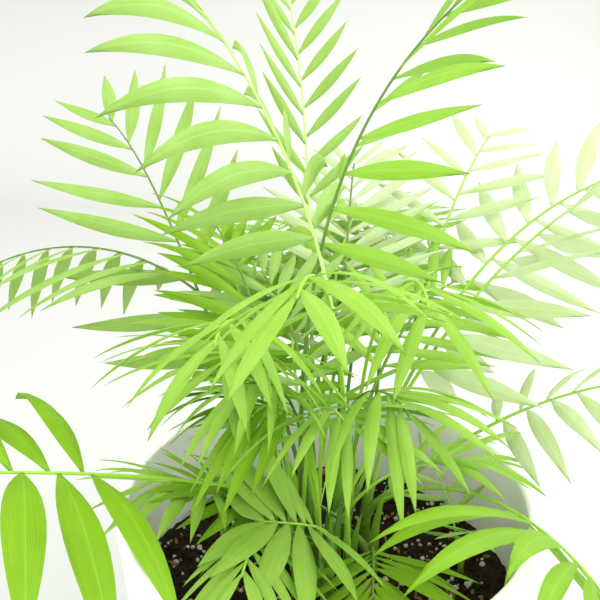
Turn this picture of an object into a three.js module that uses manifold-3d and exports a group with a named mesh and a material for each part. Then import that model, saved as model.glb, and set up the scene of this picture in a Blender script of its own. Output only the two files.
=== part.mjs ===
// Parlour palm (Chamaedorea elegans) in a round glazed pot.
// Millimetres, +Z up, origin at the middle of the pot's flat underside.
// Short canes stand in the potting mix; a frond is a petiole and rib with leaflets on both sides.
import * as THREE from 'three';
import Module from 'manifold-3d';

const wasm = await Module();
wasm.setup();
const Solid = wasm.Manifold;

// ---------- driving dimensions ----------
const RIM_RADIUS = 140; // outside of the pot's lip
const RIM_HEIGHT = 245; // top of the lip above the floor
const FOOT_RADIUS = 129; // outside of the pot at its foot
const WALL = 7; // pot wall and floor thickness
const LIP = 3; // rounding of the lip
const FOOT_EDGE = 4; // chamfer round the underside
const POT_SIDES = 40;
const SOIL_HEIGHT = 170; // level of the potting mix round the canes
const LEVEL_SOIL = 108; // radius of the level patch that the canes stand on
const SOIL_RISE = 5; // how far the mix rises and dips nearer the wall
const GAP = 0.3; // clearance between touching solids
const CANE_SIDES = 8;
const CANE_FLARE = 6.5; // radius of the flare where a cane leaves the mix
const CANE_BASE = 5; // radius just above the flare
const CANE_TOP = 3.8; // radius under the crown of petioles
const CANE_LEAN = 0.06; // sideways lean for each millimetre of height
const PETIOLE = 1.9; // radius of a petiole at its foot
const RIB_TIP = 1.4; // radius of the rib at its last leaflets
const PETIOLE_LENGTHS = 4; // straight lengths that stand for a curved petiole
const PAIRS_A_LENGTH = 3; // pairs of leaflets on each straight length of the rib
const CURVE_STEPS = 60; // steps that a frond's curve is worked out in
const LEAFLET_STEPS = 11; // steps that a leaflet's curve is worked out in
const LEAFLET_WIDEST = 5; // step at which a leaflet is widest
const LEAFLET_WIDTH = 0.115; // width of a leaflet for its length
const LEAFLET_THICK = 1.2;
const LEAFLET_ROOT = 0.6; // half the width, and the thickness, of a leaflet inside the rib
const FORWARD = 0.22; // how far a leaflet's tip turns forward along the rib
const STALK_SPACE = 5; // least distance between the middles of two petioles
const POT_SPACE = 4; // least distance from the middle of a petiole to the pot and the mix
const CANE_SPACE = 9; // least distance from a petiole to the middle of another cane

const FINISHES = {
  pot: { color: 0xf1efe8, roughness: 0.25, metalness: 0 },
  soil: { color: 0x2b211a, roughness: 0.95, metalness: 0 },
  cane: { color: 0x6f9a3a, roughness: 0.6, metalness: 0 },
  frond: { color: 0x6fbf33, roughness: 0.5, metalness: 0 },
};

const CANES = {
  front: { at: [16, -16], height: 34 },
  left: { at: [-19, -8], height: 40 },
  back: { at: [-9, 41], height: 38 },
  left_back: { at: [-26, 29], height: 36 },
  right_back: { at: [16, 35], height: 42 },
  middle: { at: [-5, -4], height: 44 },
  right: { at: [30, 36], height: 36 },
  near: { at: [1, -26], height: 38 },
  centre: { at: [7, 14], height: 46 },
  far_left: { at: [-34, 6], height: 32 },
  far_right: { at: [33, 6], height: 34 },
  seedling: { at: [98, 4], height: 14, slim: 0.45 },
};

// A frond leaves its cane at the part `up` of the cane's height. Its direction starts at `rise`
// degrees above level towards `heading`, and has lost `droop` and turned by `sweep` at its tip.
// Leaflets start at the part `bare` of its length, `open0` to `open1` degrees off the rib.
const USUAL = {
  up: 0.7, bend: 1.6, sweep: 0, bare: 0.5, pairs: 10, leaf: 110, roll: 0, turn: 0,
  open0: 72, open1: 28, lift: -10, sag: 0.6, wide: 1,
};

const MAIN_FRONDS = {
  frond_tall_left: {
    cane: 'front', heading: 128, rise: 92, droop: 41.7, sweep: 57.5, bend: 1.32, length: 402, bare: 0.575,
    pairs: 9, leaf: 114, roll: 27, turn: -30, lift: -12, sag: 0.85,
  },
  frond_tall_right: {
    cane: 'left', heading: 53.5, rise: 92, droop: 53.8, sweep: -63.8, bend: 1.9, length: 399, bare: 0.54,
    pairs: 9, leaf: 105, roll: -60, turn: 105, open0: 85, open1: 14, lift: -25, sag: 0.5, wide: 0.9,
  },
  frond_tall_back: {
    cane: 'back', heading: 89, rise: 66, droop: 26, sweep: 18, bend: 1.7, length: 490, bare: 0.47,
    pairs: 11, leaf: 72, roll: -5, turn: -10, open0: 55, open1: 22, lift: 35, sag: 0.15,
  },
  frond_left_back: {
    cane: 'left_back', heading: 120.5, rise: 42.5, droop: 22.5, sweep: 7.5, bend: 4, length: 408,
    bare: 0.33, pairs: 8, leaf: 122, roll: 50, turn: -25, open0: 84, open1: 22, lift: 39, sag: 0.15,
  },
  frond_left_arching: {
    cane: 'back', heading: 123, rise: 75, droop: 105, sweep: 60, bend: 1.1, length: 405, bare: 0.55,
    pairs: 9, leaf: 128, roll: -40, turn: 30, open0: 58, open1: 45, lift: -25, sag: 1.1, up: 0.5,
    wide: 0.85,
  },
  frond_low_left: {
    cane: 'back', heading: -120.5, rise: 38.3, droop: 23, sweep: -36, bend: 2.5, length: 310, bare: 0.745,
    pairs: 5, leaf: 120, roll: 25, turn: -25, open0: 84, open1: 50, lift: 20, sag: 1, up: 0.9, wide: 1.3,
  },
  frond_low_middle: {
    cane: 'near', heading: -75, rise: 91, droop: 92, sweep: -112, bend: 1.2, length: 102, bare: 0.64,
    pairs: 6, leaf: 77, roll: 36, turn: -25, open0: 84, open1: 42, lift: 27, sag: 0.67, up: 0.75,
    wide: 1.55,
  },
  frond_right_upper: {
    cane: 'right_back', heading: 40, rise: 61, droop: 55, sweep: -42, bend: 1.8, length: 375, pairs: 9,
    roll: -15, turn: -30, open0: 75, open1: 24, lift: -40, sag: 0.25,
  },
  frond_right_middle: {
    cane: 'middle', heading: 42.5, rise: 49, droop: 19.8, sweep: -61.7, bend: 2.06, length: 386,
    bare: 0.36, pairs: 10, leaf: 125, roll: 30, turn: 25, open0: 86, open1: 25, lift: -30, sag: 0.25,
  },
  frond_right_low: {
    cane: 'right', heading: 15.5, rise: 36.5, droop: 12.5, sweep: -73, bend: 1.66, length: 251, bare: 0.45,
    pairs: 8, leaf: 115, roll: -10, turn: 28, open0: 84, open1: 24, lift: 2, sag: 0.5, up: 0.85,
    wide: 0.85,
  },
  frond_low_right: {
    cane: 'right', heading: -40, rise: 53.5, droop: 56, sweep: -34.5, bend: 0.83, length: 217, bare: 0.7,
    pairs: 6, leaf: 145, roll: 25, turn: 28, open0: 84, open1: 50, up: 0.9, wide: 0.7,
  },
  frond_near_middle: {
    cane: 'front', heading: -107, rise: 81, droop: 87, sweep: 9, bend: 2.96, length: 330, bare: 0.7,
    pairs: 6, leaf: 80, roll: -15, open0: 68, open1: 26, lift: -12, sag: 0.95, wide: 0.95,
  },
  frond_centre_left: {
    cane: 'left', heading: -129.5, rise: 87, droop: 112.7, sweep: 31.5, bend: 4.28, length: 260,
    bare: 0.68, pairs: 6, leaf: 88, open0: 70, open1: 30, lift: -18, sag: 0.9, up: 0.4, wide: 0.8,
  },
  frond_centre_right: {
    cane: 'right_back', heading: -62, rise: 86, droop: 110, sweep: -30, bend: 3, length: 270, bare: 0.66,
    pairs: 6, leaf: 88, open0: 68, open1: 28, lift: -15, sag: 0.9, up: 0.9, wide: 0.8,
  },
  frond_right_back: {
    cane: 'right', heading: 60, rise: 60.5, droop: 45, sweep: -1.5, bend: 2.26, length: 338, bare: 0.58,
    pairs: 6, leaf: 80, roll: -10, lift: 10, sag: 0.4, up: 0.9,
  },
};

// The other fronds: long ones, shorter ones between them, ones that hang over, short ones low down
// on all sides, and a seedling's.
const GOLDEN = 0.618;
const SEED = 7;
const OUTER = {
  count: 9, from: 60, span: 46, offset: 0.3, pairs: 8, up: 0.35, bend: 1.5, wide: 0.8,
  canes: ['back', 'left_back', 'right_back', 'centre', 'far_left', 'right', 'middle'],
  ranges: {
    rise: [60, 72], droop: [50, 80], sweep: [-25, 25], length: [290, 350], bare: [0.46, 0.54],
    leaf: [88, 108], roll: [-20, 20], lift: [-25, 20], sag: [0.3, 0.8],
  },
};
const INNER = {
  count: 14, from: 62, span: 76, offset: 0, pairs: 7, up: 0.6, bend: 1.4, wide: 0.85,
  canes: ['centre', 'far_right', 'far_left', 'left', 'right_back', 'middle', 'near'],
  ranges: {
    rise: [70, 84], droop: [50, 90], sweep: [-30, 30], length: [190, 270], bare: [0.46, 0.56],
    leaf: [74, 92], roll: [-25, 25], lift: [-25, 20], sag: [0.4, 0.9],
  },
};
const HANGING = {
  count: 14, from: -145, span: 115, offset: 0.3, pairs: 6, up: 0.5, bend: 5, wide: 0.75,
  canes: ['left', 'centre', 'middle', 'right_back', 'near', 'left_back', 'middle', 'back', 'centre'],
  ranges: {
    rise: [82, 86], droop: [100, 130], sweep: [-40, 40], length: [160, 260], bare: [0.6, 0.72],
    leaf: [72, 94], open0: [62, 74], open1: [24, 34], lift: [-25, 5], sag: [0.7, 1.2],
  },
};
const SHORT = {
  count: 12, from: -180, span: 180, offset: 0, pairs: 6, up: 0.3, bend: 1.2, wide: 1,
  canes: ['near', 'far_left', 'front', 'left', 'far_right', 'middle'],
  ranges: {
    rise: [62, 78], droop: [50, 85], sweep: [-40, 40], length: [110, 160], bare: [0.5, 0.6],
    leaf: [60, 78], roll: [-25, 25], lift: [-20, 20], sag: [0.4, 0.9],
  },
};
const NEXT_ON_CANE = 0.25; // how much higher on its cane the second frond of a ring leaves it
const SEEDLING_HEADINGS = [110, 185, 260];
const SEEDLING = {
  cane: 'seedling', rise: 76, droop: 60, length: 85, bare: 0.4, pairs: 5, leaf: 42, lift: 5, sag: 0.3,
  up: 0.5, slim: 0.6,
};
const TURNS = [0, 9, -9, 18, -18, 27, -27, 36, -36]; // headings tried until a petiole stands clear

// ---------- small helpers ----------
const radians = THREE.MathUtils.degToRad;
const mix = THREE.MathUtils.lerp;
const DOWN = new THREE.Vector3(0, 0, -1);

function sum(...terms) {
  const total = new THREE.Vector3();
  for (const [vector, factor] of terms) total.addScaledVector(vector, factor);
  return total;
}

function seededDice(seed) {
  let state = seed;
  return (low, high) => {
    state = (Math.imul(state, 1664525) + 1013904223) >>> 0;
    return low + (high - low) * (state / 4294967296);
  };
}

function solidFrom(points, faces) {
  const vertProperties = new Float32Array(points.flatMap((p) => [p.x, p.y, p.z]));
  const triVerts = new Uint32Array(faces.flat());
  return new Solid(new wasm.Mesh({ numProp: 3, vertProperties, triVerts }));
}

function geometryFrom(solid) {
  const mesh = solid.getMesh();
  const geometry = new THREE.BufferGeometry();
  const corners = Float32Array.from(mesh.vertProperties);
  geometry.setAttribute('position', new THREE.BufferAttribute(corners, 3));
  geometry.setIndex(Array.from(mesh.triVerts));
  return geometry;
}

// Joins rings of points, each running anticlockwise about the way forward, into a closed skin.
function skin(rings) {
  const sides = rings[0].length;
  const faces = [];
  for (let ring = 0; ring + 1 < rings.length; ring++) {
    for (let side = 0; side < sides; side++) {
      const a = ring * sides + side;
      const b = ring * sides + ((side + 1) % sides);
      faces.push([a, b, b + sides], [a, b + sides, a + sides]);
    }
  }
  const last = (rings.length - 1) * sides;
  for (let side = 1; side + 1 < sides; side++) {
    faces.push([0, side + 1, side], [last, last + side, last + side + 1]);
  }
  return solidFrom(rings.flat(), faces);
}

// ---------- pot and potting mix ----------
function potRadius(height) {
  return mix(FOOT_RADIUS, RIM_RADIUS, height / RIM_HEIGHT);
}

function potSolid() {
  const inner = RIM_RADIUS - WALL;
  const outside = skin([
    ringAt(FOOT_RADIUS - FOOT_EDGE, 0),
    ringAt(FOOT_RADIUS, FOOT_EDGE),
    ringAt(potRadius(RIM_HEIGHT - LIP), RIM_HEIGHT - LIP),
    ringAt(RIM_RADIUS - LIP / 3, RIM_HEIGHT - LIP / 3),
    ringAt(RIM_RADIUS - LIP, RIM_HEIGHT),
  ]);
  const inside = skin([
    ringAt(potRadius(WALL) - WALL, WALL),
    ringAt(inner, RIM_HEIGHT - LIP),
    ringAt(inner + LIP / 3, RIM_HEIGHT - LIP / 3),
    ringAt(inner + LIP, RIM_HEIGHT + LIP),
  ]);
  return outside.subtract(inside);
}

function soilHeight(x, y) {
  const radius = Math.hypot(x, y);
  const out = Math.max(0, (radius - LEVEL_SOIL) / (RIM_RADIUS - LEVEL_SOIL));
  const waves = Math.sin(x / 17 + 1.3) * Math.cos(y / 21) + 0.5 * Math.sin((x - y) / 9);
  return SOIL_HEIGHT + SOIL_RISE * out * (0.4 + waves);
}

function ringAt(radius, height) {
  return Array.from({ length: POT_SIDES }, (_, side) => {
    const angle = (side / POT_SIDES) * 2 * Math.PI;
    const x = radius * Math.cos(angle);
    const y = radius * Math.sin(angle);
    return new THREE.Vector3(x, y, height ?? soilHeight(x, y));
  });
}

function soilSolid() {
  const floor = WALL + GAP;
  const wallAt = (height) => potRadius(height) - WALL - GAP * 1.5;
  const rings = [ringAt(wallAt(floor), floor), ringAt(wallAt(SOIL_HEIGHT))];
  rings.push(ringAt(mix(LEVEL_SOIL, wallAt(SOIL_HEIGHT), 0.6)), ringAt(LEVEL_SOIL));
  return skin(rings);
}

// ---------- canes ----------
function caneRadius(part) {
  return mix(CANE_BASE, CANE_TOP, part);
}

function caneMiddle(cane, part) {
  const [x, y] = cane.at;
  const away = Math.hypot(x, y) || 1;
  const spread = 1 + (CANE_LEAN * cane.height * part * part) / away;
  const height = SOIL_HEIGHT + GAP + cane.height * part;
  return new THREE.Vector3(x * spread, y * spread, height);
}

// Each old leaf has left a ring, where the cane is thicker than just below it.
function caneSolid(cane) {
  const stations = [[0, CANE_FLARE], [0.12, CANE_BASE], [0.4, caneRadius(0.4)], [0.45, caneRadius(0.25)],
    [0.75, caneRadius(0.8)], [0.8, caneRadius(0.6)], [0.95, CANE_TOP], [1, CANE_TOP * 0.6]];
  const rings = stations.map(([part, radius]) => {
    const middle = caneMiddle(cane, part);
    return Array.from({ length: CANE_SIDES }, (_, side) => {
      const angle = (side / CANE_SIDES) * 2 * Math.PI;
      const reach = new THREE.Vector3(Math.cos(angle), Math.sin(angle), 0);
      return sum([middle, 1], [reach, radius * (cane.slim ?? 1)]);
    });
  });
  return skin(rings);
}

// ---------- fronds ----------
// The curve of a petiole and rib: points, the way forward, and the two directions square to it,
// plain (for the rib's own section) and rolled (for the plane that the leaflets lie in).
function stalkOf(frond) {
  const points = [];
  const frames = [];
  for (let step = 0; step <= CURVE_STEPS; step++) {
    const part = step / CURVE_STEPS;
    const bent = part ** frond.bend;
    const rise = radians(frond.rise - frond.droop * bent);
    const heading = radians(frond.heading + frond.sweep * bent);
    const level = new THREE.Vector3(Math.cos(heading), Math.sin(heading), 0);
    const along = sum([level, Math.cos(rise)], [DOWN, -Math.sin(rise)]);
    const side = new THREE.Vector3(Math.sin(heading), -Math.cos(heading), 0);
    const above = side.clone().cross(along);
    const roll = radians(frond.roll + frond.turn * part);
    const rolledSide = sum([side, Math.cos(roll)], [above, Math.sin(roll)]);
    const rolledAbove = sum([above, Math.cos(roll)], [side, -Math.sin(roll)]);
    frames.push({ along, side, above, rolledSide, rolledAbove });
    if (step === 0) {
      points.push(footOf(frond, level));
    } else {
      const way = sum([along, 1], [frames[step - 1].along, 1]).normalize();
      points.push(sum([points[step - 1], 1], [way, frond.length / CURVE_STEPS]));
    }
  }
  return { frond, points, frames };
}

// A petiole stands against the side of its cane, its flat side to it and clear of it.
function footOf(frond, level) {
  const cane = CANES[frond.cane];
  const inward = (stalkRadius(frond, 0) / 2) * Math.sin(radians(frond.rise));
  const reach = caneRadius(frond.up) * (cane.slim ?? 1) + 1.5 * GAP + inward;
  return sum([caneMiddle(cane, frond.up), 1], [level, reach]);
}

function between(list, step, pick) {
  const low = Math.min(Math.floor(step), list.length - 2);
  return sum([pick(list[low]), 1 - (step - low)], [pick(list[low + 1]), step - low]);
}

function placeOn(stalk, part) {
  const step = part * CURVE_STEPS;
  const way = (name) => between(stalk.frames, step, (frame) => frame[name]).normalize();
  return {
    point: between(stalk.points, step, (point) => point),
    along: way('along'),
    side: way('side'),
    above: way('above'),
    rolledSide: way('rolledSide'),
    rolledAbove: way('rolledAbove'),
  };
}

function pairPart(frond, pair) {
  return Math.min(pair / (frond.pairs - 0.6), 1);
}

function stalkRadius(frond, part) {
  return mix(PETIOLE, RIB_TIP, Math.min(1, part / frond.bare)) * (frond.slim ?? 1);
}

// The rib's joints lie between pairs of leaflets.
function jointsOf(frond) {
  const parts = Array.from({ length: PETIOLE_LENGTHS }, (_, joint) => joint / PETIOLE_LENGTHS);
  for (let joint = 0; joint < parts.length; joint++) parts[joint] *= frond.bare;
  for (let pair = PAIRS_A_LENGTH; pair < frond.pairs - 1; pair += PAIRS_A_LENGTH) {
    parts.push(mix(frond.bare, 1, pairPart(frond, pair - 0.4)));
  }
  return [...parts, 1];
}

function stalkSolid(stalk) {
  const corner = [[Math.cos(Math.PI / 6), 0.5], [0, -1], [-Math.cos(Math.PI / 6), 0.5]];
  const rings = jointsOf(stalk.frond).map((part) => {
    const { point, side, above } = placeOn(stalk, part);
    const radius = stalkRadius(stalk.frond, part);
    return corner.map(([a, b]) => sum([point, 1], [side, a * radius], [above, b * radius]));
  });
  return skin(rings);
}

// The point of the straight lengths, not of the curve, that a leaflet at this part grows from.
function pointOnLengths(stalk, part) {
  const joints = jointsOf(stalk.frond);
  const next = Math.max(1, joints.findIndex((joint) => joint >= part));
  const share = (part - joints[next - 1]) / (joints[next] - joints[next - 1]);
  const low = placeOn(stalk, joints[next - 1]).point;
  const high = placeOn(stalk, joints[next]).point;
  return sum([low, 1 - share], [high, share]);
}

// A leaflet sets off from the rib between the way forward and the side, lifted out of the frond's
// plane by `lift`, and bends down by `sag` and forward as it goes. Its solid is a kite with a ridge.
function leafletSolid(stalk, index, hand, change, grow) {
  const { frond } = stalk;
  const part = pairPart(frond, index + (hand > 0 ? 0.25 : 0));
  const along = mix(frond.bare, 1, part);
  const rib = placeOn(stalk, along);
  const open = radians(mix(frond.open0, frond.open1, part ** 1.3));
  const lift = radians(frond.lift * (1 - 0.6 * part) + change.tilt);
  const out = sum([rib.rolledSide, hand * Math.cos(lift)], [rib.rolledAbove, Math.sin(lift)]);
  const start = sum([rib.along, Math.cos(open)], [out, Math.sin(open)]);
  const size = 0.62 + 0.38 * Math.sin(Math.PI * Math.min(1, 0.18 + 0.8 * part));
  const length = frond.leaf * size * change.length;
  const width = LEAFLET_WIDTH * frond.wide * frond.leaf * (0.8 + 0.2 * size);
  const ways = [];
  const points = [pointOnLengths(stalk, along)];
  for (let step = 0; step <= LEAFLET_STEPS; step++) {
    const bend = (step / LEAFLET_STEPS) ** 1.2;
    ways.push(sum([start, 1], [DOWN, bend * frond.sag], [rib.along, bend * FORWARD]).normalize());
    if (step > 0) {
      const way = sum([ways[step - 1], 1], [ways[step], 1]).normalize();
      points.push(sum([points[step - 1], 1], [way, length / LEAFLET_STEPS]));
    }
  }
  const tip = points[LEAFLET_STEPS];
  const section = (step, half, under, over) => {
    const way = ways[step];
    const face = sum([rib.rolledAbove, 1], [way, -way.dot(rib.rolledAbove)]).normalize();
    const across = way.clone().cross(face);
    const at = points[step];
    return [
      sum([at, 1], [across, -half], [face, -under]),
      sum([at, 1], [across, half], [face, -under]),
      sum([at, 1], [face, over]),
    ];
  };
  const root = section(0, LEAFLET_ROOT + grow, LEAFLET_ROOT / 2 + grow, LEAFLET_ROOT / 2 + grow);
  const under = LEAFLET_THICK * 0.3 + grow;
  const wide = section(LEAFLET_WIDEST, width / 2 + grow, under, LEAFLET_THICK * 0.7 + grow);
  const faces = [[0, 3, 4], [0, 4, 1], [3, 6, 4], [0, 2, 3], [2, 5, 3], [3, 5, 6], [1, 4, 2], [2, 4, 5],
    [4, 6, 5], [0, 1, 2]];
  return solidFrom([...root, ...wide, tip], faces);
}

function standsClear(stalk, others) {
  const canes = Object.entries(CANES).filter(([name]) => name !== stalk.frond.cane);
  for (const point of stalk.points) {
    if (point.z < SOIL_HEIGHT + POT_SPACE) return false;
    const inPot = Math.hypot(point.x, point.y) < RIM_RADIUS - WALL - POT_SPACE;
    if (!inPot && point.z < RIM_HEIGHT + POT_SPACE) return false;
    for (const [, cane] of canes) {
      const low = point.z < SOIL_HEIGHT + cane.height + 3;
      if (low && Math.hypot(point.x - cane.at[0], point.y - cane.at[1]) < CANE_SPACE) return false;
    }
    for (const other of others) {
      if (other.points.some((spot) => spot.distanceTo(point) < STALK_SPACE)) return false;
    }
  }
  return true;
}

function ringOfFronds(ring, dice) {
  return Array.from({ length: ring.count }, (_, index) => {
    const frond = { bend: ring.bend, pairs: ring.pairs, wide: ring.wide };
    for (const [name, [low, high]] of Object.entries(ring.ranges)) frond[name] = dice(low, high);
    frond.cane = ring.canes[index % ring.canes.length];
    frond.heading = ring.from + ring.span * ((index * GOLDEN + ring.offset) % 1);
    frond.up = ring.up + NEXT_ON_CANE * Math.floor(index / ring.canes.length);
    return frond;
  });
}

// Fronds of a ring that find no clear way out of the pot are left out.
function plantStalks() {
  const stalks = new Map();
  for (const [name, frond] of Object.entries(MAIN_FRONDS)) stalks.set(name, stalkOf({ ...USUAL, ...frond }));
  const dice = seededDice(SEED);
  const rings = {
    outer: ringOfFronds(OUTER, dice),
    inner: ringOfFronds(INNER, dice),
    hanging: ringOfFronds(HANGING, dice),
    short: ringOfFronds(SHORT, dice),
    seedling: SEEDLING_HEADINGS.map((heading) => ({ ...SEEDLING, heading })),
  };
  for (const [kind, fronds] of Object.entries(rings)) {
    let number = 0;
    for (const frond of fronds) {
      const tries = TURNS.map((turn) => stalkOf({ ...USUAL, ...frond, heading: frond.heading + turn }));
      const stalk = tries.find((item) => standsClear(item, [...stalks.values()]));
      if (stalk) stalks.set(`frond_${kind}_${++number}`, stalk);
    }
  }
  return stalks;
}

// ---------- keeping leaflets clear of everything else ----------
const placed = []; // { owner, solid, box, points }

function setDown(owner, solid, points) {
  placed.push({ owner, solid, box: solid.boundingBox(), points });
}

function boxesMeet(a, b) {
  return [0, 1, 2].every((axis) => a.min[axis] < b.max[axis] && b.min[axis] < a.max[axis]);
}

function pointIn(box, point, margin) {
  const spot = [point.x, point.y, point.z];
  return spot.every((value, axis) => value > box.min[axis] - margin && value < box.max[axis] + margin);
}

function touchesAnything(owner, solid) {
  const box = solid.boundingBox();
  return placed.some((item) => {
    if (item.owner === owner || !boxesMeet(box, item.box)) return false;
    const step = item.points && item.points[0].distanceTo(item.points[1]);
    if (item.points && !item.points.some((point) => pointIn(box, point, step))) return false;
    return !solid.intersect(item.solid).isEmpty();
  });
}

// A leaflet that would touch something is tilted or made shorter, and otherwise left out.
const TILTS = [0, 9, -9, 18, -18];
const CHANGES = [1, 0.82, 0.66].flatMap((length) => TILTS.map((tilt) => ({ tilt, length })));

function frondSolid(name, stalk, stem) {
  let whole = stem;
  for (let index = 0; index < stalk.frond.pairs; index++) {
    for (const hand of [1, -1]) {
      const fits = (change) => !touchesAnything(name, leafletSolid(stalk, index, hand, change, GAP));
      const change = CHANGES.find(fits);
      if (!change) continue;
      const leaflet = leafletSolid(stalk, index, hand, change, 0);
      setDown(name, leaflet);
      whole = whole.add(leaflet);
    }
  }
  return whole;
}

// ---------- assembly ----------
const group = new THREE.Group();

function addNode(name, finish, solid) {
  const material = new THREE.MeshStandardMaterial(FINISHES[finish]);
  const mesh = new THREE.Mesh(geometryFrom(solid), material);
  mesh.name = name;
  group.add(mesh);
}

const pot = potSolid();
const soil = soilSolid();
setDown('pot', pot);
setDown('soil', soil);
addNode('pot', 'pot', pot);
addNode('soil', 'soil', soil);

for (const [name, cane] of Object.entries(CANES)) {
  const solid = caneSolid(cane);
  setDown(`cane_${name}`, solid);
  addNode(`cane_${name}`, 'cane', solid);
}

const stalks = plantStalks();
const stems = new Map();
for (const [name, stalk] of stalks) {
  stems.set(name, stalkSolid(stalk));
  setDown(name, stems.get(name), stalk.points);
}
for (const [name, stalk] of stalks) addNode(name, 'frond', frondSolid(name, stalk, stems.get(name)));

export default group;
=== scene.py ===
"""The looks of a parlour palm in a round glazed pot.

Metres, +Z up, origin at the middle of the pot's flat underside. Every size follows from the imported
frame or from the named values below, and every piece is a surface worked out on a grid with numpy.
"""
import math

import bpy
import numpy as np
from bpy.props import FloatProperty, FloatVectorProperty, IntProperty, PointerProperty
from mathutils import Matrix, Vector
from mathutils.bvhtree import BVHTree


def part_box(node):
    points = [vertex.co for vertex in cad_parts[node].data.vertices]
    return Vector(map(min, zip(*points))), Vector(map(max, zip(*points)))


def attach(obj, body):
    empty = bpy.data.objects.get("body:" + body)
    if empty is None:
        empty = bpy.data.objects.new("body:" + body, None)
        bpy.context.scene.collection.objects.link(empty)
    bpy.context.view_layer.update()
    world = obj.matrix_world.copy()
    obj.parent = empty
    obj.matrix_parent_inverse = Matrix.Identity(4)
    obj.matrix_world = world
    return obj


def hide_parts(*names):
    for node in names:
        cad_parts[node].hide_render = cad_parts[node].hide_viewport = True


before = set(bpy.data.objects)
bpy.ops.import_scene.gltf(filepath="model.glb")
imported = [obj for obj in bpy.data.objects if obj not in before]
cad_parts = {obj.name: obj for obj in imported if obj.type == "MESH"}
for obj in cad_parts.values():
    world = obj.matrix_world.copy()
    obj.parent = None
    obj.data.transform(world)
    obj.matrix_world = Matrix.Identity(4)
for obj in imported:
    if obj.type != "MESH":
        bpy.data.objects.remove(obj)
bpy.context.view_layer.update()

bl_info = {
    "name": "Potted Parlour Palm",
    "version": (1, 0, 0),
    "blender": (4, 5, 0),
    "location": "3D View > Sidebar > Palm",
    "description": "Makes a parlour palm with feathered fronds in a glazed pot of potting mix",
    "category": "Add Mesh",
}

RIM_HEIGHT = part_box("pot")[1].z
FROND_NODES = sorted(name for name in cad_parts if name.startswith("frond_"))
CANE_NODES = sorted(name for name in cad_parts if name.startswith("cane_"))

# ---------- sizes shared with the solids ----------
GAP = 0.0003  # clearance between touching pieces
SIDE_GAP = 1.5 * GAP  # the same sideways
RIM_RADIUS = 0.140
FOOT_RADIUS = 0.129
WALL = 0.007
MIX_HEIGHT = 0.170  # level of the mix round the canes
LEVEL_MIX = 0.108  # radius of the level patch that the canes stand on
MIX_RISE = 0.005  # height of the waves of the mix at the wall
CANE_ROOM = 0.008  # what grains leave free round the middle of a cane
CANE_BASE = 0.005  # radius of a cane at the mix
CANE_TOP = 0.0038
CANE_LEAN = 0.06  # sideways lean for each metre of height
PETIOLE = 0.0019  # radius of a petiole at its foot
CURVE_STEPS = 60  # steps that a frond's curve is worked out in
LEAFLET_STEPS = 11
FORWARD = 0.22  # how far a leaflet's tip turns forward along the rib
STALK_SPACE = 0.005  # least distance between the middles of two petioles
POT_SPACE = 0.004  # least distance from a petiole's middle to the mix and to the pot
CANE_SPACE = 0.009  # least distance between a petiole's middle and another cane's
CANE_SPACE_ABOVE = 0.003  # how far above a cane's top that still holds
UP = np.array([0.0, 0.0, 1.0])


def cane_at(x, y, height, slim=1):
    """A cane that stands at (x, y) in the mix; slim is its thickness for the usual one."""
    return dict(at=(x, y), height=height, slim=slim)


CANES = {
    "front": cane_at(0.016, -0.016, 0.034),
    "left": cane_at(-0.019, -0.008, 0.040),
    "back": cane_at(-0.009, 0.041, 0.038),
    "left_back": cane_at(-0.026, 0.029, 0.036),
    "right_back": cane_at(0.016, 0.035, 0.042),
    "middle": cane_at(-0.005, -0.004, 0.044),
    "right": cane_at(0.030, 0.036, 0.036),
    "near": cane_at(0.001, -0.026, 0.038),
    "centre": cane_at(0.007, 0.014, 0.046),
    "far_left": cane_at(-0.034, 0.006, 0.032),
    "far_right": cane_at(0.033, 0.006, 0.034),
    "seedling": cane_at(0.098, 0.004, 0.014, slim=0.45),
}

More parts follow.
